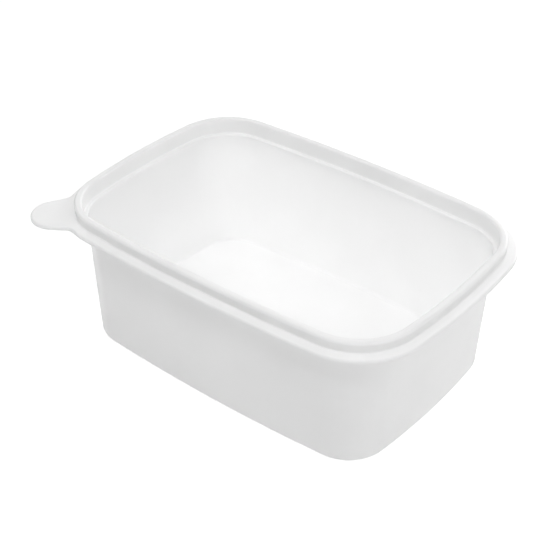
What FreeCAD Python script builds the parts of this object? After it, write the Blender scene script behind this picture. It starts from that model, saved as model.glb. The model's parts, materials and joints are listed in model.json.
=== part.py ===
# A thin-walled food tub with a lid bead, a flange and a pull tab, in one piece.
#
# Frame: millimetres, +Z up. The origin is the centre of the underside, which rests on z = 0.
# X runs along the tub's length, Y across it. The pull tab stands out of the corner at -X, -Y.
#
# In plan every outline of the tub is a rectangle with bowed sides and round corners: eight arcs that
# meet smoothly. All outlines turn by the same angles along their sides, so the walls between two of
# them stay smooth, and an outline that is offset keeps the centres of its arcs.
import FreeCAD, Part
import math
import os

# ---- Driving dimensions -------------------------------------------------------------------------
sheet = 0.6                       # thickness of the plastic

# Outer line of the lid bead, seen from above
rim_half_length = 90.0
rim_half_width = 60.8
rim_corner_radius = 28.6
long_side_turn = math.radians(4.0)     # how far a long side turns from its middle to its corner
short_side_turn = math.radians(5.75)   # the same for a short side

# Walls and base
height = 68.2
end_wall_taper = 9.6              # how far the base's end lies inside the bead's outer line
side_wall_taper = 6.8             # the same for the base's long sides
base_corner_radius = 19.5
foot_radius = 1.8                 # rounding where the walls turn into the base, outside

# Rim section, from the inside of the tub outwards
seat_depth = 7.3                  # from the top of the bead down to the lid's seat
seat_width = 1.9
seat_edge_radius = 0.8
seat_root_radius = 0.7
bead_width = 3.6
bead_inner_radius = 0.9
bead_outer_radius = 1.2
neck_lean = 0.45                  # the neck wall leans out by this much over its height
bead_undercut = 0.5               # the bead's outer wall draws in by this much, to hold the lid
flange_drop = 4.8                 # from the top of the bead down to the top of the flange
flange_root_radius = 0.6
flange_reach = 4.4                # from the bead's outer line to the flange's edge
lip_depth = 1.7                   # height of the flange's turned-down edge
lip_radius = 1.0
flange_seam = 1.5                 # where the swept rim ends and the flat flange begins

# Pull tab, in the flange's plane
tab_turn = math.radians(1.7)      # how far the tab turns from its corner's diagonal, towards -Y
tab_reach = 14.9                  # from the flange's edge to the tip
tab_tip_radius = 11.2
tab_flare = math.radians(12.0)    # how far each side of the tab spreads towards its root
tab_root_radius = 5.0

# ---- Derived levels -----------------------------------------------------------------------------
flange_top = height - flange_drop
lip_bottom = flange_top - lip_depth
seat_level = height - seat_depth
wall_top = seat_level - seat_edge_radius - sheet / 2
seat_inner_edge = -(bead_width + neck_lean + seat_width)
tab_angle = math.radians(225) + tab_turn   # direction of the tab from its corner's centre, from +X
up = FreeCAD.Vector(0, 0, 1)


def polar(centre, radius, angle):
    """The point at a radius and an angle round a centre."""
    return centre + FreeCAD.Vector(radius * math.cos(angle), radius * math.sin(angle), 0)


def arc_edge(centre, radius, start, sweep):
    """One arc round a centre, from a start angle through a sweep."""
    ends = [polar(centre, radius, start + sweep * part) for part in (0, 0.5, 1)]
    return Part.Arc(*ends).toShape()


# ---- Outlines -----------------------------------------------------------------------------------
def corner_centre(half_length, half_width, corner_radius):
    """The centre of the corner arc in the +X, +Y quarter, where both bowed sides meet it smoothly."""
    lean_long = math.tan(long_side_turn / 2)
    lean_short = math.tan(short_side_turn / 2)
    room_x = half_length - corner_radius
    room_y = half_width - corner_radius
    centre_y = (room_y - room_x * lean_long) / (1 - lean_long * lean_short)
    return room_x - centre_y * lean_short, centre_y


def outline_arcs(half_length, half_width, corner_radius, level):
    """Centre, radius, start and sweep of the eight arcs, anticlockwise from the end at +X."""
    x, y = corner_centre(half_length, half_width, corner_radius)
    long_radius = corner_radius + x / math.sin(long_side_turn)
    short_radius = corner_radius + y / math.sin(short_side_turn)
    quarter = math.pi / 2
    corner_sweep = quarter - long_side_turn - short_side_turn
    arcs = []
    for side, (sign_x, sign_y) in enumerate(((1, 1), (-1, 1), (-1, -1), (1, -1))):
        middle = side * quarter
        if side % 2 == 0:
            side_centre = FreeCAD.Vector(sign_x * (half_length - short_radius), 0, level)
            side_radius, turn = short_radius, short_side_turn
        else:
            side_centre = FreeCAD.Vector(0, sign_y * (half_width - long_radius), level)
            side_radius, turn = long_radius, long_side_turn
        arcs.append((side_centre, side_radius, middle - turn, 2 * turn))
        corner = FreeCAD.Vector(sign_x * x, sign_y * y, level)
        arcs.append((corner, corner_radius, middle + turn, corner_sweep))
    return arcs


def rim_outline(offset, level):
    """The eight arcs of the bead's outer line, moved outwards by an offset."""
    return outline_arcs(rim_half_length + offset, rim_half_width + offset,
                        rim_corner_radius + offset, level)


def wall_outline(inset, level):
    """The eight arcs of the tapered wall's outer face at a level, moved inwards by an inset."""
    share = level / wall_top
    top_inset = -(seat_inner_edge + sheet)
    top = (rim_half_length - top_inset, rim_half_width - top_inset, rim_corner_radius - top_inset)
    base = (rim_half_length - end_wall_taper, rim_half_width - side_wall_taper, base_corner_radius)
    here = [low + (high - low) * share - inset for low, high in zip(base, top)]
    return outline_arcs(*here, level)


def closed_wire(arcs):
    """One closed wire through a list of arcs."""
    return Part.Wire([arc_edge(*arc) for arc in arcs])


# ---- Sections -----------------------------------------------------------------------------------
def unit_steps(points):
    """The unit vectors from each point of a path to the next."""
    return [(after - before).normalize() for before, after in zip(points, points[1:])]


def rounded_path(points, radii):
    """Edges along a path of points whose inner corners are rounded."""
    steps = unit_steps(points)
    edges = []
    start = points[0]
    for point, radius, before, after in zip(points[1:-1], radii, steps, steps[1:]):
        half_turn = before.getAngle(after) / 2
        cut = radius * math.tan(half_turn)
        crown = point + (after - before).normalize() * radius * (1 / math.cos(half_turn) - 1)
        first, last = point - before * cut, point + after * cut
        edges.append(Part.makeLine(start, first))
        edges.append(Part.Arc(first, crown, last).toShape())
        start = last
    edges.append(Part.makeLine(start, points[-1]))
    return edges


def other_face(points, radii, thickness):
    """The path on the other side of a sheet, to the right of the first one, and its radii."""
    steps = unit_steps(points)
    rights = [FreeCAD.Vector(step.z, 0, -step.x) for step in steps]
    moved = [points[0] + rights[0] * thickness]
    new_radii = []
    for point, radius, before, after, step in zip(points[1:-1], radii, rights, rights[1:], steps):
        moved.append(point + (before + after) * thickness / (1 + before.dot(after)))
        turns_right = after.dot(step) < 0
        new_radii.append(radius - thickness if turns_right else radius + thickness)
    moved.append(points[-1] + rights[-1] * thickness)
    return moved, new_radii


def rim_section():
    """The rim's closed section: seat, neck, bead and the inner part of the flange.

    X is the distance outwards from the bead's outer line. The path follows the face that shows
    from above, and the sheet lies to its right.
    """
    corners = (
        (seat_inner_edge, seat_level, seat_edge_radius),
        (-(bead_width + neck_lean), seat_level, seat_root_radius),
        (-bead_width, height, bead_inner_radius),
        (0, height, bead_outer_radius),
        (-bead_undercut, flange_top, flange_root_radius),
    )
    radii = [corner[2] for corner in corners]
    points = [FreeCAD.Vector(seat_inner_edge, 0, wall_top)]
    points += [FreeCAD.Vector(x, 0, z) for x, z, radius in corners]
    points.append(FreeCAD.Vector(flange_seam, 0, flange_top))
    back_points, back_radii = other_face(points, radii, sheet)
    edges = rounded_path(points, radii)
    edges.append(Part.makeLine(points[-1], back_points[-1]))
    edges += rounded_path(back_points, back_radii)
    edges.append(Part.makeLine(points[0], back_points[0]))
    return Part.Face(Part.Wire(Part.__sortEdges__(edges)))


# ---- Solids -------------------------------------------------------------------------------------
def swept_rim():
    """The rim's section carried once round the bead's outline, one turned piece for each arc."""
    section = rim_section()
    pieces = []
    for centre, radius, start, sweep in rim_outline(0, 0):
        piece = section.copy()
        piece.translate(FreeCAD.Vector(radius, 0, 0))
        piece.rotate(FreeCAD.Vector(0, 0, 0), up, math.degrees(start))
        piece.translate(centre)
        pieces.append(piece.revolve(centre, up, math.degrees(sweep)))
    return pieces[0].multiFuse(pieces[1:])


def flange_outline(inset, level):
    """The flange's edge with the pull tab in its corner, moved inwards by an inset."""
    edges = []
    for centre, radius, start, sweep in rim_outline(flange_reach - inset, level):
        has_tab = start < tab_angle < start + sweep
        if has_tab:
            edges += tab_edges(centre, radius, start, start + sweep, inset)
        else:
            edges.append(arc_edge(centre, radius, start, sweep))
    return Part.Wire(edges)


def tab_edges(corner, radius, start, end, inset):
    """The corner's arc of the flange, broken by the tab: root, side, tip, side and root."""
    tip_radius = tab_tip_radius - inset
    root_radius = tab_root_radius + inset
    tip_distance = radius + inset + tab_reach - tab_tip_radius
    # The side's normal leans tab_flare forwards, so its line lies this far from the corner's centre.
    side_distance = tip_distance * math.sin(tab_flare) + tip_radius
    root_distance = radius + root_radius
    root_lean = math.acos((side_distance + root_radius) / root_distance)
    quarter = math.pi / 2
    root_turn = quarter - tab_flare - root_lean
    tip = polar(corner, tip_distance, tab_angle)
    edges = []
    for hand in (-1, 1):
        root = polar(corner, root_distance, tab_angle + hand * root_turn)
        normal = tab_angle + hand * (quarter - tab_flare)
        on_flange = tab_angle + hand * root_turn
        foot = polar(root, -root_radius, normal)
        shoulder = polar(tip, tip_radius, normal)
        turn = normal - on_flange
        root_edge = arc_edge(root, root_radius, on_flange + math.pi, turn)
        side_edge = Part.makeLine(foot, shoulder)
        if hand < 0:
            flange_edge = arc_edge(corner, radius, start, on_flange - start)
            edges += [flange_edge, root_edge, side_edge]
            edges.append(arc_edge(tip, tip_radius, normal, 2 * (quarter - tab_flare)))
        else:
            flange_edge = arc_edge(corner, radius, on_flange, end - on_flange)
            edges += [side_edge, root_edge, flange_edge]
    return edges


def plate(inset, top, bottom, radius):
    """A plate with the flange's outline whose upper edge is rounded."""
    solid = Part.Face(flange_outline(inset, bottom)).extrude(up * (top - bottom))
    upper = [edge for edge in solid.Edges if edge.BoundBox.ZMin > top - sheet / 10]
    return solid.makeFillet(radius, upper)


def flange():
    """The flat flange and its tab, with the edge turned down all round."""
    outer = plate(0, flange_top, lip_bottom, lip_radius)
    hollow = plate(sheet, flange_top - sheet, lip_bottom, lip_radius - sheet)
    mouth = Part.Face(closed_wire(rim_outline(flange_seam, lip_bottom)))
    return outer.cut(hollow).cut(mouth.extrude(up * lip_depth))


def tapered_block(inset, bottom, radius):
    """A solid between the wall's outlines at two levels, rounded round its underside."""
    low = closed_wire(wall_outline(inset, bottom))
    high = closed_wire(wall_outline(inset, wall_top))
    solid = Part.makeLoft([low, high], True, True)
    lower = [edge for edge in solid.Edges if edge.BoundBox.ZMax < bottom + sheet / 10]
    return solid.makeFillet(radius, lower)


def body():
    """The walls and the base: an outer block less an inner one."""
    return tapered_block(0, 0, foot_radius).cut(tapered_block(sheet, sheet, foot_radius - sheet))


def tub():
    """The whole tub as one solid."""
    return body().multiFuse([swept_rim(), flange()]).removeSplitter()


os.makedirs("parts", exist_ok=True)
shape = tub().Solids[0]
shape.exportStep("parts/tub.step")
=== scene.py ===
"""A thin white plastic food tub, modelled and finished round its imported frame.

The tub is modelled as a maker would draw it: one skin, the face that shows from above, is swept
round bowed outlines, joined into a shell and given the thickness of its sheet. All lengths are in
metres. The origin is the centre of the underside, X runs along the tub and Z is up.
"""

from __future__ import annotations

import json
import logging
import math
from dataclasses import dataclass, field
from enum import Enum
from typing import Any, Sequence

import bpy
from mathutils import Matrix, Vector

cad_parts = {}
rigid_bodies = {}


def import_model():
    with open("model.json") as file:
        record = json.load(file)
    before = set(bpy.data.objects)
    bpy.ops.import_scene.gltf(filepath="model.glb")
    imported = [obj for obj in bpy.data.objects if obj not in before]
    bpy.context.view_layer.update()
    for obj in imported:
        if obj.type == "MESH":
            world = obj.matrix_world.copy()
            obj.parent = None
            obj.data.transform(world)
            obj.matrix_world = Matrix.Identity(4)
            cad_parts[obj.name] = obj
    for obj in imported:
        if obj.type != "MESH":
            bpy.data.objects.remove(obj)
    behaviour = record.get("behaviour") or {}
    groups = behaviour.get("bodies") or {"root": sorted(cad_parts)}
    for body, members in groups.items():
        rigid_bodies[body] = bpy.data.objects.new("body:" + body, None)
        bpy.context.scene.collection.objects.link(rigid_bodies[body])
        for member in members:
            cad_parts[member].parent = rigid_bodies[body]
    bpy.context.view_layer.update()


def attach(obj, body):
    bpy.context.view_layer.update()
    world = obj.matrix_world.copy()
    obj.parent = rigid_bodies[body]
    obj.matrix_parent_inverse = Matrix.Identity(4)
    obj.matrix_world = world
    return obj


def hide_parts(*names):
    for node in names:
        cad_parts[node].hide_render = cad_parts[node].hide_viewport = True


LOG = logging.getLogger("tub")
MM = 0.001
QUARTER = math.pi / 2
UP = Vector((0.0, 0.0, 1.0))
WHITE = (1.0, 1.0, 1.0, 1.0)
NOISE_MIDDLE = 0.5


# ---- Modelling helpers --------------------------------------------------------------------------
def deselect_all() -> None:
    """Leave nothing selected, so that the next operator acts on its own piece alone."""
    bpy.ops.object.select_all(action="DESELECT")


def polar(centre: Vector, radius: float, angle: float) -> Vector:
    """Find a point round a centre.

    Args:
        centre: The centre, whose height the point keeps.
        radius: The distance from the centre.
        angle: The direction from +X, anticlockwise, in radians.

    Returns:
        The point.
    """
    return centre + Vector((radius * math.cos(angle), radius * math.sin(angle), 0.0))


@dataclass(frozen=True)
class Turn:
    """A stretch of an outline that turns round a centre."""

    centre: Vector
    radius: float
    start: float
    sweep: float
    steps: int

    def point(self, outwards: float, height: float) -> Vector:
        """Find where a section's point stands at the stretch's start.

        Args:
            outwards: The distance outside the outline.
            height: The height above the surface that the tub stands on.

        Returns:
            The point.
        """
        return polar(Vector((self.centre.x, self.centre.y, height)), self.radius + outwards, self.start)


@dataclass(frozen=True)
class Run:
    """A straight stretch of an outline."""

    way: Vector
    steps: int


@dataclass(frozen=True)
class Bow:
    """How the tub's outlines turn along their sides, and how finely each stretch is divided."""

    long_turn: float = math.radians(4.0)
    short_turn: float = math.radians(5.75)
    long_steps: int = 26
    short_steps: int = 18
    corner_steps: int = 26


@dataclass(frozen=True)
class Outline:
    """A rectangle with bowed sides and round corners that meet smoothly."""

    half_length: float
    half_width: float
    corner_radius: float
    bow: Bow = Bow()

    def grown(self, reach: float) -> Outline:
        """Move the outline outwards by a distance; every arc keeps its centre."""
        return Outline(self.half_length + reach, self.half_width + reach,
                       self.corner_radius + reach, self.bow)

    def corner(self) -> tuple[float, float]:
        """Find the corner arc's centre in the quarter where X and Y are positive.

        Returns:
            The centre, along X and along Y.
        """
        lean_long = math.tan(self.bow.long_turn / 2)
        lean_short = math.tan(self.bow.short_turn / 2)
        room_x = self.half_length - self.corner_radius
        room_y = self.half_width - self.corner_radius
        centre_y = (room_y - room_x * lean_long) / (1 - lean_long * lean_short)
        return room_x - centre_y * lean_short, centre_y

    def turns(self) -> list[Turn]:
        """List the eight arcs anticlockwise.

        Returns:
            The arcs, from the one at the +X end.
        """
        x, y = self.corner()
        bow = self.bow
        long_radius = self.corner_radius + x / math.sin(bow.long_turn)
        short_radius = self.corner_radius + y / math.sin(bow.short_turn)
        corner_sweep = QUARTER - bow.long_turn - bow.short_turn
        turns = []
        for side, (sign_x, sign_y) in enumerate(((1, 1), (-1, 1), (-1, -1), (1, -1))):
            middle = side * QUARTER
            if side % 2 == 0:
                centre = Vector((sign_x * (self.half_length - short_radius), 0.0, 0.0))
                radius, turn, steps = short_radius, bow.short_turn, bow.short_steps
            else:
                centre = Vector((0.0, sign_y * (self.half_width - long_radius), 0.0))
                radius, turn, steps = long_radius, bow.long_turn, bow.long_steps
            turns.append(Turn(centre, radius, middle - turn, 2 * turn, steps))
            corner = Vector((sign_x * x, sign_y * y, 0.0))
            turns.append(Turn(corner, self.corner_radius, middle + turn, corner_sweep, bow.corner_steps))
        return turns


@dataclass(frozen=True)
class Corner:
    """A corner of a section: distance outwards, height and rounding."""

    outwards: float
    height: float
    radius: float = 0.0


def rounded(corners: Sequence[Corner], bend: float = math.radians(14)) -> list[tuple[float, float]]:
    """Round the inner corners of a section's path.

    Args:
        corners: The path's corners in order; the first and last aren't rounded.
        bend: The most that the path turns from one point to the next, in radians.

    Returns:
        The path's points, each its distance outwards and its height.
    """
    spots = [Vector((corner.outwards, corner.height)) for corner in corners]
    points = [spots[0]]
    for before, here, after, corner in zip(spots, spots[1:], spots[2:], corners[1:]):
        arrive, leave = (here - before).normalized(), (after - here).normalized()
        turn = arrive.angle_signed(leave)
        cut = corner.radius * math.tan(abs(turn) / 2)
        middle = here + (leave - arrive).normalized() * corner.radius / math.cos(turn / 2)
        first = here - arrive * cut - middle
        count = max(2, math.ceil(abs(turn) / bend))
        for step in range(count + 1):
            angle = -turn * step / count
            swung = Vector((first.x * math.cos(angle) - first.y * math.sin(angle),
                            first.x * math.sin(angle) + first.y * math.cos(angle)))
            points.append(middle + swung)
    points.append(spots[-1])
    return [(point.x, point.y) for point in points]


class Mesher:
    """Models one piece in edit mode with Blender's own operators."""

    def __init__(self, name: str, nearness: float = 0.02 * MM) -> None:
        """Start a piece as a single point at the origin.

        Args:
            name: The piece's name.
            nearness: How close two points or levels lie to count as one.
        """
        self.nearness = nearness
        deselect_all()
        bpy.ops.mesh.primitive_plane_add(size=MM)
        self.piece = bpy.context.object
        self.piece.name = name
        self.piece.data.name = name
        bpy.ops.object.mode_set(mode="EDIT")
        bpy.ops.mesh.merge(type="CENTER")

    def add_point(self) -> None:
        """Add one more point at the origin, selected alone."""
        bpy.ops.mesh.select_mode(type="VERT")
        bpy.ops.mesh.select_all(action="DESELECT")
        bpy.ops.mesh.primitive_plane_add(size=MM)
        bpy.ops.mesh.merge(type="CENTER")

    def carry(self, outline: Outline, corners: Sequence[Corner],
              stretches: Sequence[Turn | Run] | None = None) -> None:
        """Draw a section at an outline's start with the selected point, and sweep it once round.

        Args:
            outline: The outline that the section's distances are measured from.
            corners: The section's corners.
            stretches: What the section is carried along, if not the outline's own arcs.
        """
        turns = outline.turns()
        points = [turns[0].point(outwards, height) for outwards, height in rounded(corners)]
        bpy.ops.transform.translate(value=points[0])
        for before, after in zip(points, points[1:]):
            bpy.ops.mesh.extrude_vertices_move(TRANSFORM_OT_translate={"value": after - before})
        bpy.ops.mesh.select_linked()
        for stretch in stretches or turns:
            self._sweep(stretch)
        self.weld()

    def _sweep(self, stretch: Turn | Run) -> None:
        """Carry the selected edges along one stretch; the spin operator turns clockwise.

        Args:
            stretch: The stretch.
        """
        if isinstance(stretch, Turn):
            bpy.ops.mesh.spin(steps=stretch.steps, angle=-stretch.sweep, center=stretch.centre, axis=UP)
            return
        for _ in range(stretch.steps):
            bpy.ops.mesh.extrude_edges_move(TRANSFORM_OT_translate={"value": stretch.way / stretch.steps})

    def weld(self) -> None:
        """Merge all points that lie as close as the mesher's nearness."""
        bpy.ops.mesh.select_all(action="SELECT")
        bpy.ops.mesh.remove_doubles(threshold=self.nearness)

    def pick_rims(self, levels: Sequence[float]) -> None:
        """Select the open edges that lie at given heights.

        Args:
            levels: The heights.
        """
        bpy.ops.mesh.select_mode(type="EDGE")
        bpy.ops.mesh.select_all(action="DESELECT")
        bpy.ops.mesh.select_non_manifold(extend=False, use_wire=True, use_boundary=True,
                                         use_multi_face=False, use_non_contiguous=False, use_verts=False)
        bpy.ops.object.mode_set(mode="OBJECT")
        mesh = self.piece.data
        chosen = [edge.index for edge in mesh.edges if edge.select and self._lies_at(edge, levels)]
        mesh.vertices.foreach_set("select", [False] * len(mesh.vertices))
        mesh.edges.foreach_set("select", [False] * len(mesh.edges))
        for index in chosen:
            mesh.edges[index].select = True
        bpy.ops.object.mode_set(mode="EDIT")

    def _lies_at(self, edge: bpy.types.MeshEdge, levels: Sequence[float]) -> bool:
        """Tell whether both ends of an edge lie at one of some heights."""
        heights = [self.piece.data.vertices[end].co.z for end in edge.vertices]
        return any(all(abs(height - level) < self.nearness for height in heights) for level in levels)

    def face_upwards(self) -> None:
        """Turn all faces to the side on which the one nearest the origin faces up."""
        bpy.ops.mesh.normals_make_consistent(inside=False)
        bpy.ops.object.mode_set(mode="OBJECT")
        nearest = min(self.piece.data.polygons, key=lambda face: face.center.length)
        faces_down = nearest.normal.z < 0
        bpy.ops.object.mode_set(mode="EDIT")
        if faces_down:
            bpy.ops.mesh.flip_normals()

    def done(self) -> bpy.types.Object:
        """Leave edit mode and return the piece."""
        bpy.ops.object.mode_set(mode="OBJECT")
        return self.piece


# ---- The tub ------------------------------------------------------------------------------------
@dataclass(frozen=True)
class Rim:
    """The swept rim: lid seat, neck, snap bead and the root of the flange.

    A section's first number is the distance outwards from the bead's outer line.
    """

    bead_line: Outline = Outline(90.0 * MM, 60.8 * MM, 28.6 * MM)
    top: float = 68.2 * MM
    wall_drop: float = 8.4 * MM
    seat_drop: float = 7.3 * MM
    seat_width: float = 1.9 * MM
    seat_edge_radius: float = 0.8 * MM
    seat_root_radius: float = 0.7 * MM
    bead_width: float = 3.6 * MM
    bead_inner_radius: float = 0.9 * MM
    bead_outer_radius: float = 1.2 * MM
    neck_lean: float = 0.45 * MM
    undercut: float = 0.5 * MM
    flange_drop: float = 4.8 * MM
    flange_root_radius: float = 0.6 * MM
    flange_seam: float = 1.5 * MM

    @property
    def wall_level(self) -> float:
        """The height at which the tapered wall meets the rim."""
        return self.top - self.wall_drop

    @property
    def flange_level(self) -> float:
        """The height of the flange's upper face."""
        return self.top - self.flange_drop

    def sweep(self, mesher: Mesher) -> None:
        """Model the rim's skin.

        Args:
            mesher: The mesher with its starting point selected.
        """
        seat_level = self.top - self.seat_drop
        neck_foot = -(self.bead_width + self.neck_lean)
        seat_edge = neck_foot - self.seat_width
        mesher.carry(self.bead_line, (
            Corner(seat_edge, self.wall_level),
            Corner(seat_edge, seat_level, self.seat_edge_radius),
            Corner(neck_foot, seat_level, self.seat_root_radius),
            Corner(-self.bead_width, self.top, self.bead_inner_radius),
            Corner(0.0, self.top, self.bead_outer_radius),
            Corner(-self.undercut, self.flange_level, self.flange_root_radius),
            Corner(self.flange_seam, self.flange_level),
        ))


@dataclass(frozen=True)
class Body:
    """The tapered walls, the rounded foot and the flat floor, as they show on the inside."""

    foot_line: Outline = Outline(79.8 * MM, 53.4 * MM, 18.9 * MM)
    floor_level: float = 0.6 * MM
    foot_radius: float = 1.2 * MM
    floor_margin: float = 3.0 * MM
    floor_ring: float = 9.0 * MM
    wall_cuts: int = 14

    def sweep(self, mesher: Mesher) -> None:
        """Model the foot's rounding.

        Args:
            mesher: The mesher with its starting point selected.
        """
        mesher.carry(self.foot_line, (
            Corner(0.0, self.floor_level + self.foot_radius),
            Corner(0.0, self.floor_level, self.foot_radius),
            Corner(-self.floor_margin, self.floor_level),
        ))

    def raise_wall(self, mesher: Mesher, wall_level: float) -> None:
        """Join the foot to the rim with the tapered wall.

        Args:
            mesher: The mesher.
            wall_level: The height at which the rim starts.
        """
        mesher.pick_rims((self.floor_level + self.foot_radius, wall_level))
        bpy.ops.mesh.bridge_edge_loops(number_cuts=self.wall_cuts, interpolation="LINEAR")

    def lay_floor(self, mesher: Mesher) -> None:
        """Close the floor with a face and a ring round it.

        Args:
            mesher: The mesher.
        """
        mesher.pick_rims((self.floor_level,))
        bpy.ops.mesh.edge_face_add()
        bpy.ops.mesh.inset(thickness=self.floor_ring)


@dataclass(frozen=True)
class PullTab:
    """The tab that breaks the flange's edge in one corner."""

    turn: float = math.radians(226.7)
    reach: float = 14.9 * MM
    tip_radius: float = 11.2 * MM
    flare: float = math.radians(12.0)
    root_radius: float = 5.0 * MM
    tip_steps: int = 26
    root_steps: int = 8
    side_steps: int = 4

    def stands_on(self, turn: Turn) -> bool:
        """Tell whether the tab breaks an arc of the flange's edge."""
        return turn.start < self.turn < turn.start + turn.sweep

    def stretches(self, corner: Turn) -> list[Turn | Run]:
        """List what takes the place of the corner's arc: edge, root, side, tip and back.

        Args:
            corner: The corner's arc on the flange's edge.

        Returns:
            The stretches, anticlockwise.
        """
        tip_distance = corner.radius + self.reach - self.tip_radius
        side_distance = tip_distance * math.sin(self.flare) + self.tip_radius
        root_distance = corner.radius + self.root_radius
        lean = QUARTER - self.flare
        root_turn = lean - math.acos((side_distance + self.root_radius) / root_distance)
        tip = polar(corner.centre, tip_distance, self.turn)
        halves: list[list[Turn | Run]] = []
        for hand in (-1, 1):
            on_edge, normal = self.turn + hand * root_turn, self.turn + hand * lean
            root = polar(corner.centre, root_distance, on_edge)
            foot = polar(root, -self.root_radius, normal)
            shoulder = polar(tip, self.tip_radius, normal)
            sweep = on_edge - corner.start if hand < 0 else corner.start + corner.sweep - on_edge
            halves.append([
                Turn(corner.centre, corner.radius, on_edge, sweep, self.root_steps),
                Turn(root, self.root_radius, on_edge, hand * (on_edge - normal), self.root_steps),
                Run((foot - shoulder) * hand, self.side_steps),
            ])
        around = Turn(tip, self.tip_radius, self.turn - lean, 2 * lean, self.tip_steps)
        return halves[0] + [around] + halves[1][::-1]


@dataclass(frozen=True)
class Flange:
    """The flat flange round the bead, its turned-down edge and its pull tab."""

    reach: float = 4.37 * MM
    lip_depth: float = 1.7 * MM
    lip_radius: float = 1.0 * MM
    lip_flat: float = 0.4 * MM
    tab: PullTab = PullTab()

    def sweep(self, mesher: Mesher, bead_line: Outline, level: float) -> None:
        """Model the turned-down edge, the tab's included.

        Args:
            mesher: The mesher with its starting point selected.
            bead_line: The bead's outer line.
            level: The height of the flange's upper face.
        """
        stretches: list[Turn | Run] = []
        for turn in bead_line.grown(self.reach).turns():
            stretches += self.tab.stretches(turn) if self.tab.stands_on(turn) else [turn]
        mesher.carry(bead_line.grown(self.reach), (
            Corner(-self.lip_radius - self.lip_flat, level),
            Corner(0.0, level, self.lip_radius),
            Corner(0.0, level - self.lip_depth),
        ), stretches)

    def fill(self, mesher: Mesher, level: float) -> None:
        """Fill the flat flange between the rim and the turned-down edge.

        Args:
            mesher: The mesher.
            level: The height of the flange's upper face.
        """
        mesher.pick_rims((level,))
        bpy.ops.mesh.fill(use_beauty=True)


@dataclass(frozen=True)
class Tub:
    """The whole tub: one sheet of plastic from the middle of the floor to the tab's tip."""

    sheet: float = 0.6 * MM
    smooth_angle: float = math.radians(40.0)
    rim: Rim = Rim()
    body: Body = Body()
    flange: Flange = Flange()

    def build(self) -> bpy.types.Object:
        """Model the shell from the skin that shows from above.

        Returns:
            The finished piece.
        """
        mesher = Mesher("tub_shell")
        self.rim.sweep(mesher)
        mesher.add_point()
        self.body.sweep(mesher)
        self.body.raise_wall(mesher, self.rim.wall_level)
        self.body.lay_floor(mesher)
        mesher.add_point()
        self.flange.sweep(mesher, self.rim.bead_line, self.rim.flange_level)
        self.flange.fill(mesher, self.rim.flange_level)
        mesher.weld()
        mesher.face_upwards()
        return self._thicken(mesher.done())

    def _thicken(self, piece: bpy.types.Object) -> bpy.types.Object:
        """Give the skin its sheet's thickness, away from the side that shows, and smooth it.

        Args:
            piece: The skin.

        Returns:
            The same piece, thickened.
        """
        wall = piece.modifiers.new("sheet", "SOLIDIFY")
        wall.thickness = self.sheet
        wall.offset = -1.0
        wall.use_even_offset = True
        bpy.ops.object.modifier_apply(modifier=wall.name)
        bpy.ops.object.shade_smooth_by_angle(angle=self.smooth_angle)
        return piece

    def dress(self, piece: bpy.types.Object) -> None:
        """Give the piece its plastic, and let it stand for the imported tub.

        Args:
            piece: The finished piece.
        """
        piece.data.materials.append(MilkyPlastic().material())
        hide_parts("tub")
        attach(piece, "root")


# ---- Shader nodes -------------------------------------------------------------------------------
class Signal:
    """A shader socket that carries a number, with the arithmetic that the finishes use."""

    def __init__(self, board: Board, socket: bpy.types.NodeSocket) -> None:
        """Wrap a socket.

        Args:
            board: The board that the socket's node is on.
            socket: The output socket.
        """
        self.board = board
        self.socket = socket

    def _math(self, operation: str, first: Signal | float, second: Signal | float) -> Signal:
        """Add a Math node for one operation on two numbers."""
        node = self.board.add("ShaderNodeMath", {"operation": operation}, {0: first, 1: second})
        return Signal(self.board, node.outputs[0])

    def __add__(self, other: Signal | float) -> Signal:
        """Add a number."""
        return self._math("ADD", self, other)

    def __radd__(self, other: float) -> Signal:
        """Add to a number."""
        return self._math("ADD", other, self)

    def __sub__(self, other: Signal | float) -> Signal:
        """Take a number away."""
        return self._math("SUBTRACT", self, other)

    def __rsub__(self, other: float) -> Signal:
        """Take from a number."""
        return self._math("SUBTRACT", other, self)

    def __mul__(self, other: Signal | float) -> Signal:
        """Multiply by a number."""
        return self._math("MULTIPLY", self, other)

    def __rmul__(self, other: float) -> Signal:
        """Multiply a number."""
        return self._math("MULTIPLY", other, self)


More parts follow.
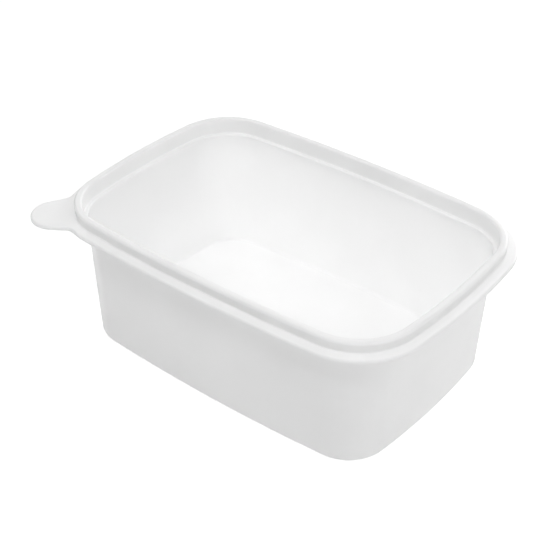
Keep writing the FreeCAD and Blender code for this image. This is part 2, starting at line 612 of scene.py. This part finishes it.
class Board:
    """A material's or a world's node tree."""

    def __init__(self, tree: bpy.types.NodeTree) -> None:
        """Take over a node tree and clear it.

        Args:
            tree: The node tree.
        """
        self.tree = tree
        self.tree.nodes.clear()

    def add(self, kind: str, settings: dict[str, Any] | None = None,
            inputs: dict[str | int, Any] | None = None) -> bpy.types.Node:
        """Add a node of any kind.

        Args:
            kind: The node's type name.
            settings: The node's own settings, by name, which are made first.
            inputs: A value, a Signal or an output socket for each input, by name or number.

        Returns:
            The node.
        """
        node = self.tree.nodes.new(kind)
        for name, value in (settings or {}).items():
            setattr(node, name, value)
        for name, value in (inputs or {}).items():
            source = value.socket if isinstance(value, Signal) else value
            if isinstance(source, bpy.types.NodeSocket):
                self.tree.links.new(source, node.inputs[name])
            else:
                node.inputs[name].default_value = source
        return node

    def signal(self, node: bpy.types.Node, output: str) -> Signal:
        """Wrap one of a node's outputs."""
        return Signal(self, node.outputs[output])

    def mix_colours(self, share: Signal, first: Sequence[float],
                    second: Sequence[float]) -> bpy.types.NodeSocket:
        """Mix two colours. A Mix node's sockets share their names, so its colours go by number.

        Args:
            share: The second colour's share.
            first: The colour at share 0, as red, green and blue.
            second: The colour at share 1, as red, green and blue.

        Returns:
            The mixed colour's socket.
        """
        node = self.add("ShaderNodeMix", {"data_type": "RGBA"}, {
            "Factor": share, 6: (*first, 1.0), 7: (*second, 1.0)})
        return node.outputs[2]

    def mix_shaders(self, share: Signal | bpy.types.NodeSocket, first: bpy.types.Node,
                    second: bpy.types.Node) -> bpy.types.Node:
        """Mix two shaders.

        Args:
            share: The second shader's share.
            first: The shader at share 0.
            second: The shader at share 1.

        Returns:
            The mixed shader.
        """
        return self.add("ShaderNodeMixShader", {}, {0: share, 1: first.outputs[0], 2: second.outputs[0]})

    def rays(self) -> Signal:
        """Tell the rays that show a surface or the world directly, mirrored or through plastic."""
        paths = self.add("ShaderNodeLightPath")
        seen = self.signal(paths, "Is Camera Ray") + self.signal(paths, "Is Glossy Ray")
        return seen + self.signal(paths, "Is Transmission Ray")


# ---- Finishes -----------------------------------------------------------------------------------
@dataclass(frozen=True)
class Noise:
    """A pattern of soft patches: their size, and how many and how strong the finer ones in them are."""

    size: float
    detail: float
    roughness: float

    def node(self, board: Board, place: bpy.types.NodeSocket) -> bpy.types.Node:
        """Add the pattern to a board.

        Args:
            board: The board.
            place: The socket that gives the place on the piece.

        Returns:
            The noise's node.
        """
        return board.add("ShaderNodeTexNoise", {}, {
            "Vector": place, "Scale": 1 / self.size, "Detail": self.detail, "Roughness": self.roughness})


@dataclass(frozen=True)
class MilkyPlastic:
    """Thin moulded polypropylene: milky, faintly cloudy, with the soft sheen of a steel mould."""

    colour: tuple[float, float, float] = (0.905, 0.905, 0.905)
    cloud: tuple[float, float, float] = (0.945, 0.945, 0.945)
    let_through: tuple[float, float, float] = (0.97, 0.97, 0.97)
    thinness: float = 0.40
    thinness_spread: float = 0.10
    cloud_share: float = 0.7
    clouds: Noise = Noise(22 * MM, 2.0, 0.45)
    flow: Noise = Noise(5 * MM, 3.0, 0.55)
    flow_stretch: float = 9.0
    ripple_depth: float = 0.03 * MM
    grain: Noise = Noise(0.45 * MM, 2.0, 0.5)
    grain_depth: float = 0.004 * MM
    roughness: float = 0.21
    roughness_spread: float = 0.06
    refraction: float = 1.49

    def material(self) -> bpy.types.Material:
        """Make the material.

        Returns:
            The material.
        """
        material = bpy.data.materials.new("milky_plastic")
        material.use_nodes = True
        board = Board(material.node_tree)
        place = board.add("ShaderNodeTexCoord").outputs["Object"]
        clouds = self.clouds.node(board, place)
        along_flow = board.add("ShaderNodeMapping", {}, {
            "Vector": place, "Scale": (1.0, 1.0, 1 / self.flow_stretch)})
        flow = self.flow.node(board, along_flow.outputs[0])
        grain = self.grain.node(board, place)
        cloudiness = board.signal(clouds, "Fac")
        streaks = board.signal(flow, "Fac")
        colour = board.mix_colours(cloudiness * self.cloud_share + streaks * (1 - self.cloud_share),
                                   self.colour, self.cloud)
        roughness = self.roughness + (streaks - NOISE_MIDDLE) * self.roughness_spread
        ripple = board.add("ShaderNodeBump", {}, {
            "Strength": 1.0, "Distance": self.ripple_depth, "Height": flow.outputs["Fac"]})
        relief = board.add("ShaderNodeBump", {}, {
            "Strength": 1.0, "Distance": self.grain_depth, "Height": grain.outputs["Fac"],
            "Normal": ripple.outputs[0]})
        skin = board.add("ShaderNodeBsdfPrincipled", {}, {
            "Base Color": colour, "Roughness": roughness, "IOR": self.refraction,
            "Normal": relief.outputs[0]})
        sheet = board.add("ShaderNodeBsdfTranslucent", {}, {"Color": (*self.let_through, 1.0)})
        thinness = self.thinness + (cloudiness - NOISE_MIDDLE) * self.thinness_spread
        plastic = board.mix_shaders(thinness, skin, sheet)
        board.add("ShaderNodeOutputMaterial", {}, {"Surface": plastic.outputs[0]})
        return material


@dataclass(frozen=True)
class PaleFloor:
    """The floor: matt white, lifted where it is seen, and plain white away from the tub's shadow."""

    colour: tuple[float, float, float] = (0.9, 0.9, 0.9)
    lift: float = 0.444
    near: float = 0.3
    far: float = 0.9

    def material(self) -> bpy.types.Material:
        """Make the material.

        Returns:
            The material.
        """
        material = bpy.data.materials.new("pale_floor")
        material.use_nodes = True
        board = Board(material.node_tree)
        place = board.add("ShaderNodeTexCoord").outputs["Object"]
        away = board.add("ShaderNodeVectorMath", {"operation": "LENGTH"}, {0: place})
        fade = board.add("ShaderNodeMapRange", {"interpolation_type": "SMOOTHSTEP"}, {
            "Value": away.outputs["Value"], "From Min": self.near, "From Max": self.far})
        matt = board.add("ShaderNodeBsdfDiffuse", {}, {"Color": (*self.colour, 1.0)})
        lift = board.add("ShaderNodeEmission", {}, {"Strength": self.lift})
        lifted = board.add("ShaderNodeAddShader", {}, {0: matt.outputs[0], 1: lift.outputs[0]})
        white = board.add("ShaderNodeEmission", {}, {"Strength": 1.0})
        faded = board.mix_shaders(fade.outputs[0], lifted, white)
        shown = board.mix_shaders(board.rays(), matt, faded)
        board.add("ShaderNodeOutputMaterial", {}, {"Surface": shown.outputs[0]})
        return material


# ---- The studio ---------------------------------------------------------------------------------
class Lamp(Enum):
    """The softboxes: place, side of the square and power."""

    BACK = ((0.0, 1.207, 0.324), 0.9, 8.5)
    RIGHT = ((0.958, 0.0, 0.803), 0.9, 4.2)
    LEFT = ((-0.528, 0.0, 1.133), 0.9, 3.2)
    FRONT = ((0.0, -0.528, 1.133), 0.4, 2.4)
    SHEEN = ((0.313, -0.541, 1.083), 0.25, 2.6)


@dataclass
class Studio:
    """The floor, the soft light and the camera."""

    floor_side: float = 8.0
    floor_cuts: int = 8
    floor_gap: float = 0.3 * MM
    world_level: float = 0.076
    diffuse_bounces: int = 16
    all_bounces: int = 24
    lamp_aim: Vector = field(default_factory=lambda: Vector((0.0, 0.0, 0.03)))
    camera_aim: Vector = field(default_factory=lambda: Vector((-14.74, 10.22, 24.16)) * MM)
    azimuth: float = math.radians(39.0)
    elevation: float = math.radians(35.48)
    distance: float = 610.5 * MM
    lens: float = 86.2

    def build(self) -> None:
        """Set up the whole studio."""
        self._lay_floor()
        self._light_world()
        for lamp in Lamp:
            self._hang(lamp)
        self._place_camera()
        bpy.context.scene.cycles.diffuse_bounces = self.diffuse_bounces
        bpy.context.scene.cycles.max_bounces = self.all_bounces

    def _lay_floor(self) -> None:
        """Lay the floor that the tub stands on."""
        deselect_all()
        bpy.ops.mesh.primitive_grid_add(x_subdivisions=self.floor_cuts, y_subdivisions=self.floor_cuts,
                                        size=self.floor_side, location=(0.0, 0.0, -self.floor_gap))
        floor = bpy.context.object
        floor.name = "floor"
        floor.data.materials.append(PaleFloor().material())

    def _light_world(self) -> None:
        """Light the tub evenly from all round; where it is seen, the world is white."""
        world = bpy.data.worlds.new("studio")
        bpy.context.scene.world = world
        world.use_nodes = True
        board = Board(world.node_tree)
        light = board.add("ShaderNodeBackground", {}, {"Color": WHITE, "Strength": self.world_level})
        white = board.add("ShaderNodeBackground", {}, {"Color": WHITE, "Strength": 1.0})
        shown = board.mix_shaders(board.rays(), light, white)
        board.add("ShaderNodeOutputWorld", {}, {"Surface": shown.outputs[0]})

    def _hang(self, lamp: Lamp) -> None:
        """Hang one softbox, turned towards the tub.

        Args:
            lamp: The softbox.
        """
        place, side, power = lamp.value
        deselect_all()
        bpy.ops.object.light_add(type="AREA", location=place)
        light = bpy.context.object
        light.name = lamp.name.lower()
        light.data.shape = "SQUARE"
        light.data.size = side
        light.data.energy = power
        light.rotation_euler = (self.lamp_aim - Vector(place)).to_track_quat("-Z", "Y").to_euler()

    def _place_camera(self) -> None:
        """Place the camera on its line of sight."""
        level = math.cos(self.elevation)
        back = Vector((math.sin(self.azimuth) * level, -math.cos(self.azimuth) * level,
                       math.sin(self.elevation)))
        deselect_all()
        bpy.ops.object.camera_add(location=self.camera_aim + back * self.distance,
                                  rotation=(QUARTER - self.elevation, 0.0, self.azimuth))
        camera = bpy.context.object
        camera.name = "camera"
        camera.data.lens = self.lens
        bpy.context.scene.camera = camera


def main() -> None:
    """Build the tub and its studio, and report each piece."""
    logging.basicConfig(level=logging.INFO, format="%(name)s: %(message)s")
    bpy.context.scene.view_settings.view_transform = "Standard"
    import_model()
    tub = Tub()
    shell = tub.build()
    tub.dress(shell)
    LOG.info("%s: %d faces", shell.name, len(shell.data.polygons))
    Studio().build()


if __name__ == "__main__":
    main()
